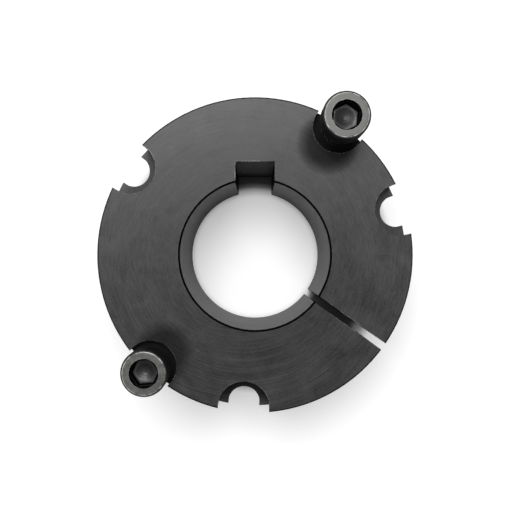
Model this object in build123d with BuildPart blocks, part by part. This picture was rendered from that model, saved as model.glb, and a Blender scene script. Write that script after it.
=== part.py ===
from build123d import *
import os
from math import atan, degrees, radians, tan

os.makedirs("parts", exist_ok=True)

# Split taper bush with its two jacking screws, in millimetres.
# The origin is on the bore axis in the small end face, which the bush stands on.
# +Z runs up the bore axis to the large end face, and the keyway is towards +Y.
# All angles are in degrees, anticlockwise from +X as seen from the large end.

# Bush body
large_end_diameter = 127.0
bush_length = 63.5
taper_angle = 4.0  # each side
rim_chamfer = 0.5
bore_diameter = 60.325
bore_chamfer = 0.8

# Keyway and saw cut, both along the whole bore
keyway_width = 15.875
keyway_depth = 7.5  # from the crown of the bore to the keyway floor
keyway_corner_radius = 0.6
keyway_angle = 90.0
slot_width = 3.0
slot_angle = -35.5

# Socket head cap screws
screw_diameter = 12.0
screw_length = 40.0  # under the head
screw_tip_chamfer = 1.2
head_diameter = 18.0
head_height = 12.0
head_edge_radius = 1.2
underhead_radius = 0.6
hex_across_flats = 10.0
socket_depth = 6.0
socket_mouth_diameter = 11.6
socket_mouth_depth = 1.0
socket_floor_across_flats = 8.7
socket_floor_bevel = 0.9  # height of the bevel round the socket floor
pilot_diameter = 6.4  # spot drilled in the socket floor
pilot_floor_diameter = 3.4

# Stepped half-holes in the rim: clamping seats take a screw head, jacking holes are tapped
screw_axis_inset = 2.1  # rim of the large end to the axis of each half-hole
clamp_angles = (17.3, 145.2, 265.7)
head_clearance = 1.45
clamp_hole_clearance = 0.5
clamp_mouth_bevel = 0.15
jack_seat_depth = 4.7
jack_mouth_bevel = 0.45
thread_clearance = 0.15
half_hole_depth = 50.0
drill_point_angle = 118.0

# Jacking screws: place on the screw circle, height of the underside of the head
# above the large end face, and how far the hexagon is turned
jack_screws = {
    "jack_screw_high": {"angle": 56.7, "standoff": 15.8, "hex_turn": 25.0},
    "jack_screw_low": {"angle": 226.8, "standoff": 7.2, "hex_turn": 5.0},
}

large_end_radius = large_end_diameter / 2
bore_radius = bore_diameter / 2
screw_circle_radius = large_end_radius - screw_axis_inset
seat_radius = head_diameter / 2 + head_clearance


def taper_radius(height):
    return large_end_radius - (bush_length - height) * tan(radians(taper_angle))


def on_screw_circle(angle):
    return Vector(screw_circle_radius, 0, 0).rotate(Axis.Z, angle)


def radial_plane(angle):
    # Upright plane through the bore axis: local x runs outwards, local y runs up
    outward = Vector(1, 0, 0).rotate(Axis.Z, angle)
    return Plane(origin=(0, 0, 0), x_dir=outward, z_dir=outward.cross(Vector(0, 0, 1)))


def half_hole_outline(seat_depth, hole_radius, mouth_bevel):
    # Half section of a counterbored hole with a drill point, to turn about its own axis.
    # It runs past the large end face, so that nothing is left standing there.
    top = bush_length + seat_depth
    seat = bush_length - seat_depth
    bottom = bush_length - half_hole_depth
    tip = bottom - hole_radius / tan(radians(drill_point_angle / 2))
    axis = screw_circle_radius
    return [
        (axis, top),
        (axis + seat_radius, top),
        (axis + seat_radius, seat),
        (axis + hole_radius + mouth_bevel, seat),
        (axis + hole_radius, seat - mouth_bevel),
        (axis + hole_radius, bottom),
        (axis, tip),
    ]


# Taper bush: one turned piece, slotted through and notched across its rim
with BuildPart() as taper_bush:
    with BuildSketch(Plane.XZ):
        with BuildLine():
            Polyline(
                (bore_radius + bore_chamfer, 0),
                (taper_radius(0) - rim_chamfer, 0),
                (taper_radius(rim_chamfer), rim_chamfer),
                (taper_radius(bush_length - rim_chamfer), bush_length - rim_chamfer),
                (large_end_radius - rim_chamfer, bush_length),
                (bore_radius + bore_chamfer, bush_length),
                (bore_radius, bush_length - bore_chamfer),
                (bore_radius, bore_chamfer),
                close=True,
            )
        make_face()
    revolve(axis=Axis.Z)

    # Keyway, with eased corners at its floor
    with BuildSketch(Plane.XY.rotated((0, 0, keyway_angle))) as keyway:
        Rectangle(bore_radius + keyway_depth, keyway_width, align=(Align.MIN, Align.CENTER))
        fillet(keyway.vertices().group_by(Axis.Y)[-1], radius=keyway_corner_radius)
    extrude(amount=bush_length, mode=Mode.SUBTRACT)

    # Saw cut that lets the bush close on the shaft
    with BuildSketch(Plane.XY.rotated((0, 0, slot_angle))):
        Rectangle(large_end_diameter, slot_width, align=(Align.MIN, Align.CENTER))
    extrude(amount=bush_length, mode=Mode.SUBTRACT)

    # Clamping seats: a head-deep counterbore over a plain clearance hole
    clamp_hole_radius = screw_diameter / 2 + clamp_hole_clearance
    clamp_outline = half_hole_outline(head_height, clamp_hole_radius, clamp_mouth_bevel)
    for angle in clamp_angles:
        with BuildSketch(radial_plane(angle)):
            with BuildLine():
                Polyline(*clamp_outline, close=True)
            make_face()
        revolve(axis=Axis(on_screw_circle(angle), (0, 0, 1)), mode=Mode.SUBTRACT)

    # Jacking holes: a shallow counterbore and a countersunk mouth over the tapped half
    tapped_hole_radius = screw_diameter / 2 + thread_clearance
    jack_outline = half_hole_outline(jack_seat_depth, tapped_hole_radius, jack_mouth_bevel)
    for place in jack_screws.values():
        with BuildSketch(radial_plane(place["angle"])):
            with BuildLine():
                Polyline(*jack_outline, close=True)
            make_face()
        revolve(axis=Axis(on_screw_circle(place["angle"]), (0, 0, 1)), mode=Mode.SUBTRACT)

taper_bush.part.label = "taper_bush"
export_step(taper_bush.part, "parts/taper_bush.step")

# Jacking screws: turned head and shank, hexagon socket with a spot drilled in its floor
shank_radius = screw_diameter / 2
head_radius = head_diameter / 2
mouth_radius = socket_mouth_diameter / 2
pilot_radius = pilot_diameter / 2
pilot_floor_radius = pilot_floor_diameter / 2
pilot_depth = (pilot_radius - pilot_floor_radius) / tan(radians(drill_point_angle / 2))
bevel_inset = (hex_across_flats - socket_floor_across_flats) / 2
bevel_taper = degrees(atan(bevel_inset / socket_floor_bevel))

for node, place in jack_screws.items():
    screw_origin = on_screw_circle(place["angle"])
    underhead = bush_length + place["standoff"]
    head_top = underhead + head_height
    screw_tip = underhead - screw_length
    socket_floor = head_top - socket_depth
    upright = Plane(origin=screw_origin, x_dir=(1, 0, 0), z_dir=(0, -1, 0))
    screw_axis = Axis(screw_origin, (0, 0, 1))
    with BuildPart() as screw:
        with BuildSketch(upright):
            with BuildLine():
                Polyline(
                    (0, screw_tip),
                    (shank_radius - screw_tip_chamfer, screw_tip),
                    (shank_radius, screw_tip + screw_tip_chamfer),
                    (shank_radius, underhead - underhead_radius),
                )
                RadiusArc(
                    (shank_radius, underhead - underhead_radius),
                    (shank_radius + underhead_radius, underhead),
                    underhead_radius,
                )
                Polyline(
                    (shank_radius + underhead_radius, underhead),
                    (head_radius, underhead),
                    (head_radius, head_top - head_edge_radius),
                )
                RadiusArc(
                    (head_radius, head_top - head_edge_radius),
                    (head_radius - head_edge_radius, head_top),
                    -head_edge_radius,
                )
                Polyline(
                    (head_radius - head_edge_radius, head_top),
                    (0, head_top),
                    (0, screw_tip),
                )
            make_face()
        revolve(axis=screw_axis)

        # Hexagon socket, with a bevel round its floor
        socket_plane = Plane(origin=screw_origin + Vector(0, 0, head_top), z_dir=(0, 0, 1))
        bevel_plane = socket_plane.offset(socket_floor_bevel - socket_depth)
        with BuildSketch(socket_plane):
            RegularPolygon(hex_across_flats / 2, 6, major_radius=False, rotation=place["hex_turn"])
        extrude(amount=socket_floor_bevel - socket_depth, mode=Mode.SUBTRACT)
        with BuildSketch(bevel_plane):
            RegularPolygon(hex_across_flats / 2, 6, major_radius=False, rotation=place["hex_turn"])
        extrude(amount=-socket_floor_bevel, taper=bevel_taper, mode=Mode.SUBTRACT)

        # Round mouth of the socket and the spot in its floor
        with BuildSketch(upright):
            with BuildLine():
                Polyline(
                    (0, head_top),
                    (mouth_radius, head_top),
                    (hex_across_flats / 2, head_top - socket_mouth_depth),
                    (0, head_top - socket_mouth_depth),
                    close=True,
                )
            make_face()
            with BuildLine():
                Polyline(
                    (0, socket_floor),
                    (pilot_radius, socket_floor),
                    (pilot_floor_radius, socket_floor - pilot_depth),
                    (0, socket_floor - pilot_depth),
                    close=True,
                )
            make_face()
        revolve(axis=screw_axis, mode=Mode.SUBTRACT)

    screw.part.label = node
    export_step(screw.part, f"parts/{node}.step")
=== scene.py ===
import math

import bmesh
import bpy
import numpy as np
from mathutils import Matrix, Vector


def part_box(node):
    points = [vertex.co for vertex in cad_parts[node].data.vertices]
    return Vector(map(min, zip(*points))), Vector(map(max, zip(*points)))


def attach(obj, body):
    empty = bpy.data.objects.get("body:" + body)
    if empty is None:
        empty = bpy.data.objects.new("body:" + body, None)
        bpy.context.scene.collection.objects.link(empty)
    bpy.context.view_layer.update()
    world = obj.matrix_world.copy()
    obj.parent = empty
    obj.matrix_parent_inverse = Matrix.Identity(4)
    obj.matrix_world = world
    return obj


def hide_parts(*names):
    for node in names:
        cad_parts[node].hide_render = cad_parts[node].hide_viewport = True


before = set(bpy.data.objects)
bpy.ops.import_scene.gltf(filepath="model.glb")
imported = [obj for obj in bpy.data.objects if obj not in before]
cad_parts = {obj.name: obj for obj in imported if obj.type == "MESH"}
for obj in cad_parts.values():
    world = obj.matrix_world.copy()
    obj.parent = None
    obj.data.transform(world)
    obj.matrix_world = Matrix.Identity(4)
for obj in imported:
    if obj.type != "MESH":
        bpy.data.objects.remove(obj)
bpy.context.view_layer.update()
mm = 0.001


def linearColour(hexCode, alpha=1.0):
    # sRGB hex to linear: each channel through the standard sRGB curve
    parts = [int(hexCode[i:i + 2], 16) / 255 for i in (1, 3, 5)]
    return [c / 12.92 if c <= 0.04045 else ((c + 0.055) / 1.055) ** 2.4 for c in parts] + [alpha]


def addNode(tree, kind, settings=None, links=None):
    # a setting is an input socket by its name or number, or a property of the node
    node = tree.nodes.new("ShaderNode" + kind)
    for key, value in (settings or {}).items():
        if isinstance(key, int) or key in node.inputs:
            node.inputs[key].default_value = value
        else:
            setattr(node, key, value)
    for key, socket in (links or {}).items():
        tree.links.new(socket, node.inputs[key])
    return node


def newMaterial(name):
    material = bpy.data.materials.new(name)
    material.use_nodes = True
    material.node_tree.nodes.clear()
    return material, material.node_tree


def addPiece(name, mesh, sharpAngle):
    # smooth shading, with the edges over the angle kept crisp
    mesh.polygons.foreach_set("use_smooth", np.ones(len(mesh.polygons), bool))
    mesh.set_sharp_from_angle(angle=math.radians(sharpAngle))
    piece = bpy.data.objects.new(name, mesh)
    bpy.context.scene.collection.objects.link(piece)
    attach(piece, "root")
    return piece


def gridMesh(name, x, y, z):
    # rows of rings: each ring joins the next by quads, and the first and last rows,
    # whose points all lie together, become one pole each
    rows, columns = x.shape
    points = np.stack([x, y, z], axis=-1).reshape(-1, 3)
    index = np.arange(rows * columns).reshape(rows, columns)
    index[0] = index[0, 0]
    index[-1] = index[-1, 0]
    after = np.roll(index, -1, axis=1)
    quads = np.stack([index[1:-2], after[1:-2], after[2:-1], index[2:-1]], axis=-1).reshape(-1, 4)
    firstFan = np.stack([index[0], after[1], index[1]], axis=-1)
    lastFan = np.stack([index[-1], index[-2], after[-2]], axis=-1)
    mesh = bpy.data.meshes.new(name)
    mesh.from_pydata(points.tolist(), [], quads.tolist() + firstFan.tolist() + lastFan.tolist())
    tidy = bmesh.new()
    tidy.from_mesh(mesh)
    bmesh.ops.delete(tidy, geom=[v for v in tidy.verts if not v.link_faces], context="VERTS")
    bmesh.ops.recalc_face_normals(tidy, faces=tidy.faces)
    tidy.to_mesh(mesh)
    tidy.free()
    return mesh


def step(tree, socket, low, high):
    # 0 at low and past it, 1 at high and past it, an even ramp between; low may be the larger
    return addNode(tree, "MapRange", {1: low, 2: high}, {0: socket}).outputs[0]


def span(tree, socket, low, high):
    # low where the socket is 0, high where it is 1
    return addNode(tree, "MapRange", {3: low, 4: high}, {0: socket}).outputs[0]


def maths(tree, operation, first, second=0.0):
    # each side is a socket or a plain number
    values = {i: v for i, v in enumerate((first, second)) if isinstance(v, (int, float))}
    sockets = {i: v for i, v in enumerate((first, second)) if not isinstance(v, (int, float))}
    return addNode(tree, "Math", {"operation": operation, **values}, sockets).outputs[0]


def chain(tree, operation, *values):
    # one value after another, as in a sum or a product
    result = values[0]
    for value in values[1:]:
        result = maths(tree, operation, result, value)
    return result


def times(tree, *factors):
    return chain(tree, "MULTIPLY", *factors)


def left(tree, level):
    # what is left of 1
    return maths(tree, "SUBTRACT", 1.0, level)


def mixColour(tree, factor, first, second):
    # each side is a colour list or a socket
    values = {i: v for i, v in ((6, first), (7, second)) if isinstance(v, list)}
    sockets = {i: v for i, v in ((6, first), (7, second)) if not isinstance(v, list)}
    return addNode(tree, "Mix", {"data_type": "RGBA", **values}, {0: factor, **sockets}).outputs[2]


def vectors(tree, operation, first, second=(0, 0, 0), output=0):
    # the second side is a socket or a plain vector
    values = {1: second} if isinstance(second, tuple) else {}
    sockets = {} if isinstance(second, tuple) else {1: second}
    return addNode(tree, "VectorMath", {"operation": operation, **values}, {0: first, **sockets}).outputs[output]


def scaled(tree, vector, factor):
    return addNode(tree, "VectorMath", {"operation": "SCALE", "Scale": factor}, {0: vector}).outputs[0]


def flatDistance(tree, flat, x=0.0, y=0.0):
    # how far a place on the floor plane is from x, y
    return vectors(tree, "DISTANCE", flat, (x, y, 0), "Value")


def noise(tree, place, wide, detail, roughness=0.5, distortion=0.0):
    # a cloudy pattern with features about wide mm across
    return addNode(tree, "TexNoise", {"Scale": 1 / (wide * mm), "Detail": detail, "Roughness": roughness,
                   "Distortion": distortion}, {0: place}).outputs[0]


def sharpEdge(tree, wide, low, high):
    # 1 on sharp edges, where a rounded normal leaves the true one
    bevelled = addNode(tree, "Bevel", {"samples": 6, "Radius": wide * mm}).outputs[0]
    plain = addNode(tree, "NewGeometry").outputs["Normal"]
    along = vectors(tree, "DOT_PRODUCT", bevelled, plain, "Value")
    return left(tree, step(tree, along, low, high))


bushLow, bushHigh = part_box("taper_bush")
faceHeight = bushHigh.z

# Camera, straight above the large end

camera = {"distance": 310.4 * mm, "lens": 54.56}

cameraData = bpy.data.cameras.new("camera")
cameraData.lens = camera["lens"]
cameraData.clip_start = 0.01
cameraObject = bpy.data.objects.new("camera", cameraData)
cameraObject.location = (0, 0, faceHeight + camera["distance"])
bpy.context.scene.collection.objects.link(cameraObject)
bpy.context.scene.camera = cameraObject
print("camera set")

# Floor and light: a big soft lamp high up, a little to the keyway side, and a sky that
# darkens to the horizon, so that upright walls stay dark

light = {"skyTop": 0.55, "skyEdge": 0.11, "skyLow": 0.1, "lampAway": 1.2, "lampWide": 0.6, "lampPower": 9.0,
         "lampTilt": 16.0, "lampTurn": 100.0}
card = {"half": 3.0, "white": "#f4f4f4", "shade": "#666666", "rough": 0.9, "lift": 0.3, "boreLift": 0.37,
        "outside": (62.0, 67.0), "inside": (33.0, 28.0), "shadeInner": (31.0, 35.0), "shadeOuter": (66.0, 56.0)}


def cardRamp(tree, away, name):
    start, end = card[name]
    return step(tree, away, start * mm, end * mm)


half = card["half"]
floorMesh = bpy.data.meshes.new("floor")
floorMesh.from_pydata([(-half, -half, 0), (half, -half, 0), (half, half, 0), (-half, half, 0)], [], [(0, 1, 2, 3)])
floor = bpy.data.objects.new("floor", floorMesh)
bpy.context.scene.collection.objects.link(floor)
# matt white card: bare white ground that still takes the soft shadow
floorMaterial, tree = newMaterial("matt white card")
place = addNode(tree, "TexCoord").outputs["Object"]
away = flatDistance(tree, vectors(tree, "MULTIPLY", place, (1, 1, 0)))
# the camera-ray lift whitens the card outside the bush and in the bore but not under it, so the ring under the bush
# stays dark as painted shade
outside = times(tree, cardRamp(tree, away, "outside"), card["lift"])
inside = times(tree, cardRamp(tree, away, "inside"), card["boreLift"])
cameraRay = addNode(tree, "LightPath").outputs["Is Camera Ray"]
lift = times(tree, maths(tree, "ADD", outside, inside), cameraRay)
# under the bush itself, where only the saw cut shows the card, a painted contact shade: the card's colour is
# darkened there
paintedContactShade = times(tree, cardRamp(tree, away, "shadeInner"), cardRamp(tree, away, "shadeOuter"))
cardColour = mixColour(tree, paintedContactShade, linearColour(card["white"]), linearColour(card["shade"]))
shader = addNode(tree, "BsdfPrincipled", {"Roughness": card["rough"], "Specular IOR Level": 0.0,
                 "Emission Color": (1, 1, 1, 1)}, {"Base Color": cardColour, "Emission Strength": lift})
addNode(tree, "OutputMaterial", {}, {"Surface": shader.outputs[0]})
floorMesh.materials.append(floorMaterial)

world = bpy.data.worlds.new("studio")
world.use_nodes = True
tree = world.node_tree
tree.nodes.clear()
direction = addNode(tree, "TexCoord").outputs["Generated"]
skyHeight = addNode(tree, "SeparateXYZ", {}, {0: direction}).outputs["Z"]
glow = span(tree, step(tree, skyHeight, light["skyLow"], 1.0), light["skyEdge"], light["skyTop"])
# looked at straight, the sky is plain white
glow = maths(tree, "MAXIMUM", glow, addNode(tree, "LightPath").outputs["Is Camera Ray"])
back = addNode(tree, "Background", {"Color": (1, 1, 1, 1)}, {"Strength": glow})
addNode(tree, "OutputWorld", {}, {"Surface": back.outputs[0]})
bpy.context.scene.world = world
bpy.context.scene.view_settings.view_transform = "Standard"

lampData = bpy.data.lights.new("lamp", "AREA")
lampData.shape = "DISK"
lampData.size = light["lampWide"]
lampData.energy = light["lampPower"]
lamp = bpy.data.objects.new("lamp", lampData)
tilt, turn = math.radians(light["lampTilt"]), math.radians(light["lampTurn"])
lamp.location = (light["lampAway"] * math.sin(tilt) * math.cos(turn),
                 light["lampAway"] * math.sin(tilt) * math.sin(turn),
                 light["lampAway"] * math.cos(tilt))
lamp.rotation_euler = (0, tilt, turn)
bpy.context.scene.collection.objects.link(lamp)
print("floor and light set")

# Iron of the bush

iron = {"dark": "#0d0d0e", "pale": "#2c2c2e", "bore": "#38383a", "paintedShade": "#040404", "worn": "#a3a39f",
        "rough": 0.4, "roughSpread": 0.1, "paintedShadeRough": 0.4, "shine": 0.22, "shineSpread": 0.2,
        "polishFrom": 0.95, "polish": 0.35, "bump": 0.35, "markBump": 0.05, "edgeWide": 0.35,
        "markWide": 0.6, "bandWide": 3.5, "blotchWide": 11.0, "grainWide": 0.7, "around": 5.0,
        "boreRadius": 30.1625, "boreChamfer": 0.8, "keyHalf": 7.9375, "keyRadius": 40.0,
        "cutTurn": -35.5, "cutHalf": 1.52, "seatDepth": 12.3, "seatInner": 45.0, "holeRadius": 10.5,
        "rimRadius": 62.85, "shadowInward": 0.87, "shadowCore": 7.5, "shadowRadius": 13.0}
# how black the painted shade is in each place, from 0 to 1
paintedShadeLevel = {"boreChamfer": 0.95, "keySide": 0.85, "keyFloor": 0.45, "sawCut": 0.9, "screwShadow": 0.5, "holeWall": 0.97,
        "holeLedgeLess": 0.25, "seatLow": 0.55, "seatHighLess": 0.4, "rim": 0.6, "rimLowMore": 0.36}

# black phosphated iron, fine turned: a dull dark grey that picks up the lamp in fine rings,
# cloudy where the coat varies, rubbed bright on its sharp edges, and painted near black as shade in its hollows and
# beside the screws
bushMaterial, tree = newMaterial("black phosphated turned iron")
place = addNode(tree, "TexCoord").outputs["Object"]
flat = vectors(tree, "MULTIPLY", place, (1, 1, 0))
radius = flatDistance(tree, flat)
axes = addNode(tree, "SeparateXYZ", {}, {0: place}).outputs
normal = addNode(tree, "SeparateXYZ", {}, {0: addNode(tree, "NewGeometry").outputs["True Normal"]}).outputs


def radiusRamp(start, end):
    return step(tree, radius, start * mm, end * mm)


# turning marks: arcs on the faces and hoops on the walls, about 0.6 mm wide (a real feed of
# 0.15 mm would be too fine to see), which come and go round the turn
ringPlace = addNode(tree, "CombineXYZ", {}, {0: radius, 1: axes["Z"]}).outputs[0]
ringPlace = vectors(tree, "ADD", ringPlace, scaled(tree, vectors(tree, "NORMALIZE", flat), iron["around"] * mm))
marks = noise(tree, ringPlace, iron["markWide"], 2.0)
bands = noise(tree, ringPlace, iron["bandWide"], 3.0, 0.65)
blotch = noise(tree, place, iron["blotchWide"], 6.0, 0.6, 0.6)
grain = noise(tree, place, iron["grainWide"], 3.0, 0.7)
tone = chain(tree, "ADD", times(tree, blotch, 0.32), times(tree, bands, 0.15), times(tree, marks, 0.28),
             times(tree, grain, 0.25))
tone = step(tree, tone, 0.36, 0.64)
colour = mixColour(tree, tone, linearColour(iron["dark"]), linearColour(iron["pale"]))
# the bore is reamed smoother and shows more bare metal
bore = iron["boreRadius"]
mouth = bore + iron["boreChamfer"]
colour = mixColour(tree, radiusRamp(bore + 0.1, bore + 0.02), colour, linearColour(iron["bore"]))

# painted shade, near black: the bore chamfer, then the keyway's sides and its floor
inRing = maths(tree, "SUBTRACT", radiusRamp(bore + 0.05, bore + 0.15), radiusRamp(mouth - 0.05, mouth + 0.05))
aside = maths(tree, "ABSOLUTE", axes["X"])
sideWall = step(tree, maths(tree, "ABSOLUTE", normal["X"]), 0.9, 0.97)
upright = step(tree, maths(tree, "ABSOLUTE", normal["Z"]), 0.5, 0.3)
nearKey = times(tree, step(tree, aside, (iron["keyHalf"] + 0.3) * mm, (iron["keyHalf"] + 0.1) * mm),
                radiusRamp(iron["keyRadius"] + 1, iron["keyRadius"]))
keySide = times(tree, sideWall, nearKey, radiusRamp(bore - 0.16, bore + 0.84))
keyFloor = times(tree, step(tree, times(tree, nearKey, radiusRamp(32, 33)), 0.5, 0.6), upright,
                 step(tree, axes["Y"], 0.0, 5 * mm))
paintedShades = [times(tree, inRing, paintedShadeLevel["boreChamfer"]), times(tree, keySide, paintedShadeLevel["keySide"]),
            times(tree, keyFloor, paintedShadeLevel["keyFloor"])]
# painted shade in the saw cut
below = step(tree, axes["Z"], faceHeight - 0.05 * mm, faceHeight - 0.2 * mm)
cutTurn = math.radians(iron["cutTurn"])
cut = vectors(tree, "DOT_PRODUCT", place, (-math.sin(cutTurn), math.cos(cutTurn), 0), "Value")
cut = step(tree, maths(tree, "ABSOLUTE", cut), (iron["cutHalf"] + 0.08) * mm, iron["cutHalf"] * mm)
cut = times(tree, cut, below, step(tree, axes["X"], 0.0, 5 * mm))
paintedShades.append(times(tree, cut, paintedShadeLevel["sawCut"]))
# painted shade in the jacking half-holes, less on their ledges, and a soft painted shadow of each screw on the face,
# set in towards the axis
holeShade = maths(tree, "SUBTRACT", paintedShadeLevel["holeWall"], times(tree, step(tree, normal["Z"], 0.6, 0.9),
                                                          paintedShadeLevel["holeLedgeLess"]))
for node in ("jack_screw_high", "jack_screw_low"):
    low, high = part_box(node)
    middle = (low + high) / 2
    screwShadow = flatDistance(tree, flat, iron["shadowInward"] * middle.x, iron["shadowInward"] * middle.y)
    screwShadow = step(tree, screwShadow, iron["shadowRadius"] * mm, iron["shadowCore"] * mm)
    near = flatDistance(tree, flat, middle.x, middle.y)
    near = step(tree, near, (iron["holeRadius"] + 0.3) * mm, iron["holeRadius"] * mm)
    paintedShades += [times(tree, screwShadow, paintedShadeLevel["screwShadow"]), times(tree, near, below, holeShade)]
# painted shade in the clamping half-holes, most at the side away from the keyway, and a thin line of painted shade
# round the rim, darker towards -y
seats = times(tree, below, step(tree, axes["Z"], faceHeight - (iron["seatDepth"] + 0.2) * mm,
                                faceHeight - iron["seatDepth"] * mm),
              radiusRamp(62, 58), radiusRamp(iron["seatInner"], iron["seatInner"] + 1))
seatShade = maths(tree, "SUBTRACT", paintedShadeLevel["seatLow"], times(tree, step(tree, axes["Y"], -45 * mm, -30 * mm),
                                                         paintedShadeLevel["seatHighLess"]))
rim = times(tree, radiusRamp(iron["rimRadius"], iron["rimRadius"] + 0.1),
            step(tree, axes["Z"], faceHeight - 1.0 * mm, faceHeight - 0.6 * mm))
rimShade = maths(tree, "ADD", paintedShadeLevel["rim"], times(tree, step(tree, axes["Y"], 0.0, -40 * mm), paintedShadeLevel["rimLowMore"]))
paintedShades += [times(tree, seats, seatShade), times(tree, rim, rimShade)]
paintedShade = chain(tree, "MAXIMUM", *paintedShades)
colour = mixColour(tree, paintedShade, colour, linearColour(iron["paintedShade"]))

# rubbed edges, broken up by the grain
worn = times(tree, sharpEdge(tree, iron["edgeWide"], 0.86, 0.985),
             step(tree, maths(tree, "ADD", grain, blotch), 0.95, 1.25),
             left(tree, maths(tree, "MAXIMUM", inRing, rim)))
colour = mixColour(tree, worn, colour, linearColour(iron["worn"]))
gloss = span(tree, tone, iron["rough"] - iron["roughSpread"] / 2, iron["rough"] + iron["roughSpread"] / 2)
gloss = maths(tree, "ADD", gloss, times(tree, paintedShade, iron["paintedShadeRough"]))
# handling has polished the outer part of the face a little
polish = maths(tree, "ADD", iron["polishFrom"], times(tree, radiusRamp(36, 62), iron["polish"]))
shine = span(tree, tone, iron["shine"], iron["shine"] + iron["shineSpread"])
shine = times(tree, shine, polish, left(tree, paintedShade))
relief = maths(tree, "ADD", times(tree, marks, 0.6), times(tree, grain, 0.5))
bump = addNode(tree, "Bump", {"Strength": iron["bump"], "Distance": iron["markBump"] * mm}, {"Height": relief})
shader = addNode(tree, "BsdfPrincipled", {}, {"Base Color": colour, "Roughness": gloss, "Normal": bump.outputs[0],
                 "Specular IOR Level": shine, "Metallic": times(tree, worn, 0.6)})
addNode(tree, "OutputMaterial", {}, {"Surface": shader.outputs[0]})

# Bush: the solid's own surface, joined up and shaded smooth

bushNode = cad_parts["taper_bush"]
mesh = bpy.data.meshes.new("bushSkin")
skin = bmesh.new()
skin.from_mesh(bushNode.data)
skin.transform(bushNode.matrix_world)
bmesh.ops.remove_doubles(skin, verts=skin.verts, dist=0.001 * mm)
skin.to_mesh(mesh)
skin.free()
for name in [a.name for a in mesh.attributes if a.name in ("custom_normal", "sharp_edge", "sharp_face")]:
    mesh.attributes.remove(mesh.attributes[name])
mesh.materials.clear()
mesh.materials.append(bushMaterial)
bush = addPiece("bushSkin", mesh, 28)
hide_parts("taper_bush")
print("bush skin set")

# Steel of the screws

steel = {"dark": "#101010", "pale": "#1d1d1d", "top": "#353532", "topPale": "#62625e", "worn": "#c9c9c4",
         "socket": "#030303", "rough": 0.38, "roughLess": 0.08, "roughMore": 0.1, "shine": 0.5, "sideShine": 0.12,
         "bump": 0.3, "grainBump": 0.02, "edgeWide": 0.3, "blotchWide": 2.2, "grainWide": 0.4,
         "ringWide": 0.6, "ringWander": 0.08, "ringDull": 0.6}


def steelMaterial(middle, headTop):
    # black oxided steel, oily and near black, a paler grey on the top of the head
    material, tree = newMaterial("black oxided steel")
    place = addNode(tree, "TexCoord").outputs["Object"]
    height = addNode(tree, "SeparateXYZ", {}, {0: place}).outputs["Z"]
    away = flatDistance(tree, vectors(tree, "MULTIPLY", place, (1, 1, 0)), middle.x, middle.y)

    def heightRamp(start, end):
        # depths below the top of the head, in mm
        return step(tree, height, headTop - start * mm, headTop - end * mm)

    blotch = noise(tree, place, steel["blotchWide"], 5.0, 0.65)
    grain = noise(tree, place, steel["grainWide"], 2.0)
    # rings left by the spot drill, about 0.6 mm wide and wandering a little
    rings = addNode(tree, "CombineXYZ", {}, {0: away}).outputs[0]
    rings = vectors(tree, "ADD", rings, scaled(tree, place, steel["ringWander"]))
    rings = step(tree, noise(tree, rings, steel["ringWide"], 1.0), 0.38, 0.62)
    tone = step(tree, maths(tree, "ADD", times(tree, blotch, 0.6), times(tree, grain, 0.4)), 0.36, 0.64)
    oxide = mixColour(tree, tone, linearColour(steel["dark"]), linearColour(steel["pale"]))
    topGrey = mixColour(tree, tone, linearColour(steel["top"]), linearColour(steel["topPale"]))
    colour = mixColour(tree, heightRamp(0.2, 0.1), oxide, topGrey)
    edge = sharpEdge(tree, steel["edgeWide"], 0.9, 0.99)
    worn = times(tree, edge, step(tree, blotch, 0.45, 0.65), heightRamp(2, 1))
    colour = mixColour(tree, worn, colour, linearColour(steel["worn"]))
    # a painted highlight: a bright line where the flat of the head turns over, broken up by the blotches, in the
    # worn-edge colour
    paintedHighlightRing = times(tree, heightRamp(0.12, 0.07), heightRamp(0.005, 0.03), step(tree, away, 6.5 * mm, 7 * mm),
                 step(tree, blotch, 0.38, 0.62))
    colour = mixColour(tree, paintedHighlightRing, colour, linearColour(steel["worn"]))
    # painted shade: the socket's walls are painted near black
    inSocket = times(tree, step(tree, away, 5.8 * mm, 5.7 * mm), heightRamp(5.9, 5.6), heightRamp(0.02, 0.1))
    colour = mixColour(tree, inSocket, colour, linearColour(steel["socket"]))
    normal = addNode(tree, "SeparateXYZ", {}, {0: addNode(tree, "NewGeometry").outputs["True Normal"]}).outputs
    # faces that look up shine, less so in the socket
    level = times(tree, step(tree, maths(tree, "ABSOLUTE", normal["Z"]), 0.35, 0.7), left(tree, inSocket))
    deep = times(tree, step(tree, away, 5.8 * mm, 5.6 * mm), heightRamp(5.5, 5.8))
    level = times(tree, level, left(tree, times(tree, deep, times(tree, rings, steel["ringDull"]))))
    shine = span(tree, level, steel["sideShine"], steel["shine"])
    gloss = span(tree, tone, steel["rough"] - steel["roughLess"], steel["rough"] + steel["roughMore"])
    bump = addNode(tree, "Bump", {"Strength": steel["bump"], "Distance": steel["grainBump"] * mm}, {"Height": grain})
    shader = addNode(tree, "BsdfPrincipled", {}, {"Base Color": colour, "Roughness": gloss,
                     "Normal": bump.outputs[0], "Specular IOR Level": shine, "Metallic": times(tree, worn, 0.8)})
    addNode(tree, "OutputMaterial", {}, {"Surface": shader.outputs[0]})
    return material


# Screws, each drawn from the axis of its own solid

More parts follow.
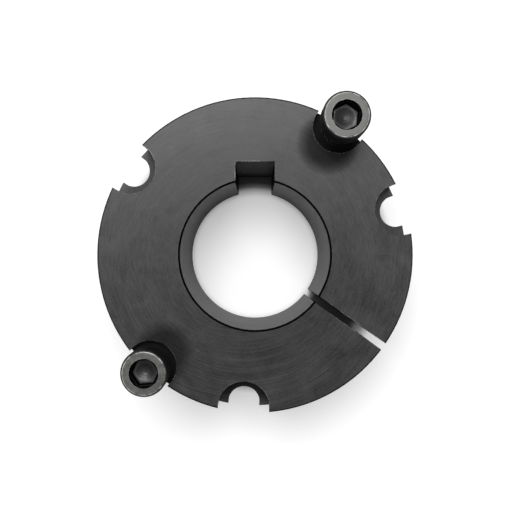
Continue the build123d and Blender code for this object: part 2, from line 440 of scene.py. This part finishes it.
screw = {"headRadius": 9.0, "headHeight": 12.0, "edgeRadius": 1.2, "shankRadius": 6.0,
         "underheadRadius": 0.6, "hexFlats": 9.8, "floorFlats": 8.7, "floorBevel": 0.9,
         "socketDepth": 6.0, "mouthRadius": 5.66,
         "mouthDepth": 1.0, "spotRadius": 3.2, "spotFloor": 1.7, "spotDepth": 0.9, "teeth": 60,
         "toothDepth": 0.22, "pitch": 1.75, "threadDepth": 1.07, "plainShank": 3.5, "tipChamfer": 1.2,
         "footBevel": 0.3, "knurlFoot": 0.5,
         "columns": 240, "rowsPerPitch": 12, "edgeRows": 10, "knurlRows": 14, "filletRows": 5}
hexTurn = {"jack_screw_high": 25.0, "jack_screw_low": 5.0}


def threadRadius(z, angle):
    # u = frac(z / pitch - angle / 2 pi), right-handed; t = |2u - 1|;
    # r = shank - depth * clip((t - 1/8) / (3/4), 0, 1)
    t = np.abs(2 * np.mod(z / (screw["pitch"] * mm) - angle / (2 * np.pi), 1) - 1)
    return screw["shankRadius"] - screw["threadDepth"] * np.clip((t - 0.125) / 0.75, 0, 1)


def screwMesh(name, low, high, turn):
    # rings at heights z(row) and radii r(row, angle), all in mm until the last line:
    # hexagon r = flats/2 / cos(mod(angle - turn, 60) - 30), in degrees; rounded edge
    # r = head - e + e sin(p), z = top - e + e cos(p); knurl r = head - d (1 - cos(n angle)) / 2
    s = screw
    angle = np.linspace(0, 2 * np.pi, s["columns"], endpoint=False)
    one = np.ones_like(angle)
    top, tip = high.z / mm, low.z / mm
    under = top - s["headHeight"]
    socketFloor = top - s["socketDepth"]
    sector = np.mod(angle - math.radians(turn), math.pi / 3) - math.pi / 6
    hexagon = 0.5 / np.cos(sector)
    wall = s["hexFlats"] * hexagon
    wallTop = top - s["mouthDepth"] * (s["mouthRadius"] - wall) / (s["mouthRadius"] - s["hexFlats"] / 2)
    wallFoot = socketFloor + s["floorBevel"]
    rows = [(0 * one, (socketFloor - s["spotDepth"]) * one),
            (s["spotFloor"] * one, (socketFloor - s["spotDepth"]) * one),
            (s["spotRadius"] * one, socketFloor * one),
            (s["floorFlats"] * hexagon, socketFloor * one),
            (wall, wallFoot * one)]
    rows += [(wall, wallFoot + (wallTop - wallFoot) * k / 4) for k in (1, 2, 3, 4)]
    flatEdge = s["headRadius"] - s["edgeRadius"]
    rows += [((s["mouthRadius"] + (flatEdge - s["mouthRadius"]) * k / 4) * one, top * one) for k in range(5)]
    for p in np.linspace(0, math.pi / 2, s["edgeRows"])[1:]:
        rows += [((flatEdge + s["edgeRadius"] * math.sin(p)) * one,
                  (top - s["edgeRadius"] * (1 - math.cos(p))) * one)]
    knurl = s["toothDepth"] * (1 - np.cos(s["teeth"] * angle)) / 2
    knurlTop, knurlFoot = top - s["edgeRadius"], under + s["knurlFoot"]
    for k in np.linspace(0, 1, s["knurlRows"]):
        rise = min(1, 6 * k, 6 * (1 - k))
        rows += [(s["headRadius"] - knurl * rise, (knurlTop + (knurlFoot - knurlTop) * k) * one)]
    rows += [((s["headRadius"] - s["footBevel"]) * one, under * one),
             ((s["shankRadius"] + s["underheadRadius"]) * one, under * one)]
    for p in np.linspace(0, math.pi / 2, s["filletRows"])[1:]:
        rows += [((s["shankRadius"] + s["underheadRadius"] * (1 - math.sin(p))) * one,
                  (under - s["underheadRadius"] * (1 - math.cos(p))) * one)]
    start = under - s["plainShank"]
    for z in np.arange(start, tip + 0.02, -s["pitch"] / s["rowsPerPitch"]):
        cut = np.minimum(1, (start - z) / s["pitch"])
        r = s["shankRadius"] - cut * (s["shankRadius"] - threadRadius(z * mm, angle))
        rows += [(np.minimum(r, s["shankRadius"] - s["tipChamfer"] + (z - tip)), z * one)]
    rows += [((s["shankRadius"] - s["tipChamfer"]) * one, tip * one), (0 * one, tip * one)]
    r = np.array([row[0] for row in rows]) * mm
    z = np.array([row[1] for row in rows]) * mm
    middle = (low + high) / 2
    return gridMesh(name, middle.x + r * np.cos(angle), middle.y + r * np.sin(angle), z)


for node, turn in hexTurn.items():
    low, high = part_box(node)
    mesh = screwMesh(node + "_skin", low, high, turn)
    mesh.materials.append(steelMaterial((low + high) / 2, high.z))
    piece = addPiece(node + "_skin", mesh, 32)
    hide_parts(node)
    print(node, "set,", len(mesh.polygons), "faces")

# Half threads in the jacking holes, in step with the screws' own threads

tapped = {"holeRadius": 6.15, "seatDepth": 4.7, "mouth": 0.6, "depth": 50.0, "play": 0.1, "taper": 4.0,
          "buried": 0.25, "lip": 0.02, "rimGap": 0.15, "footGap": 0.5, "across": 90}


def halfThreadMesh(name, middle, rimRadius):
    # a closed band: its front r = min(hole - lip, thread(z, angle) + play) spans the angles inside
    # the taper, |angle| < acos((c^2 + h^2 - R(z)^2) / 2 c h), where h is the back's radius and
    # R(z) = rim - (face - z) tan(taper) - gap; its back lies in the iron
    t = tapped
    top = faceHeight / mm - t["seatDepth"] - t["mouth"]
    z = np.arange(top, faceHeight / mm - t["depth"] + t["footGap"], -screw["pitch"] / screw["rowsPerPitch"])[:, None]
    centre = math.hypot(middle.x, middle.y) / mm
    back = t["holeRadius"] + t["buried"]
    taper = rimRadius - (faceHeight / mm - z) * math.tan(math.radians(t["taper"])) - t["rimGap"]
    reach = np.arccos((centre ** 2 + back ** 2 - taper ** 2) / (2 * centre * back))
    inward = math.atan2(-middle.y, -middle.x)
    spread = np.linspace(-1, 1, t["across"])
    angle = inward + reach * spread
    front = np.minimum(t["holeRadius"] - t["lip"], threadRadius(z * mm, angle) + t["play"])
    angles = np.concatenate([angle, angle[:, ::-1]], axis=1)
    radii = np.concatenate([front, back + 0 * angle], axis=1)
    x = middle.x + radii * mm * np.cos(angles)
    y = middle.y + radii * mm * np.sin(angles)
    h = z * mm + 0 * x
    ends = [np.repeat(a[[0, -1]].mean(axis=1, keepdims=True), a.shape[1], axis=1) for a in (x, y, h)]
    return gridMesh(name, *[np.concatenate([e[:1], a, e[1:]]) for e, a in zip(ends, (x, y, h))])


rimRadius = max(math.hypot(v.co.x, v.co.y) for v in bush.data.vertices) / mm
for node in hexTurn:
    low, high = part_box(node)
    mesh = halfThreadMesh(node + "_hole_thread", (low + high) / 2, rimRadius)
    mesh.materials.append(bushMaterial)
    piece = addPiece(node + "_hole_thread", mesh, 32)
    print(node, "hole thread set,", len(mesh.polygons), "faces")
